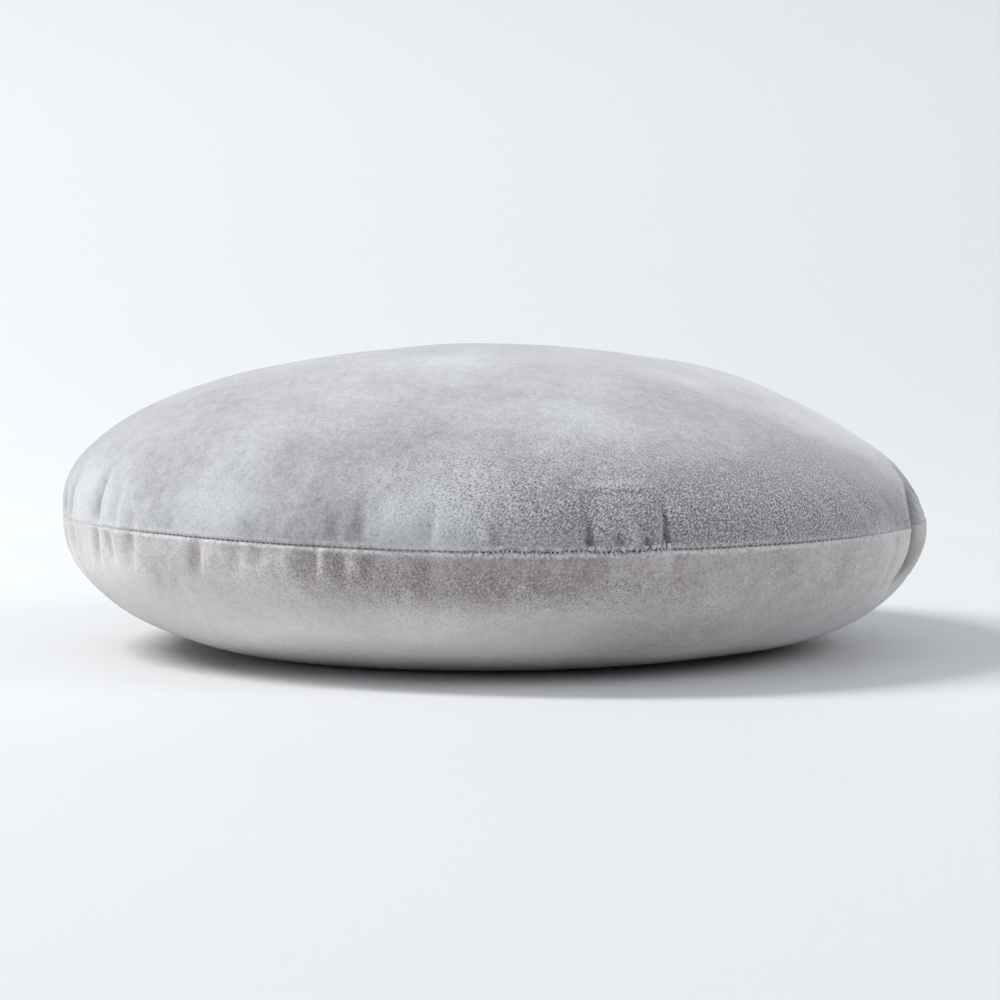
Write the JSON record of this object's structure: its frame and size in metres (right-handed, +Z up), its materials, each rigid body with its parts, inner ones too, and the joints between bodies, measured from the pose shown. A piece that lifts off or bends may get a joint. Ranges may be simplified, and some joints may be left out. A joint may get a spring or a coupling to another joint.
{
  "type": "round cushion",
  "caption": "Round filled velvet cushion, two round panels sewn together at the rim with no piping, lying on its flat-pressed back with a full crown.",
  "frame": {"origin": "on the surface that the cushion lies on, under the middle of its outline", "axes": "+Z up out of the crown; the hand-closed stretch of the seam faces -Y, and the deep fold of the seam is near +X"},
  "size_m": [0.3982, 0.3992, 0.1388],
  "materials": {
    "velvet": "short-pile cotton velvet, silver grey, matt with a soft sheen at grazing angles"
  },
  "bodies": {
    "root": {"cushion": "velvet"}
  },
  "joints": []
}
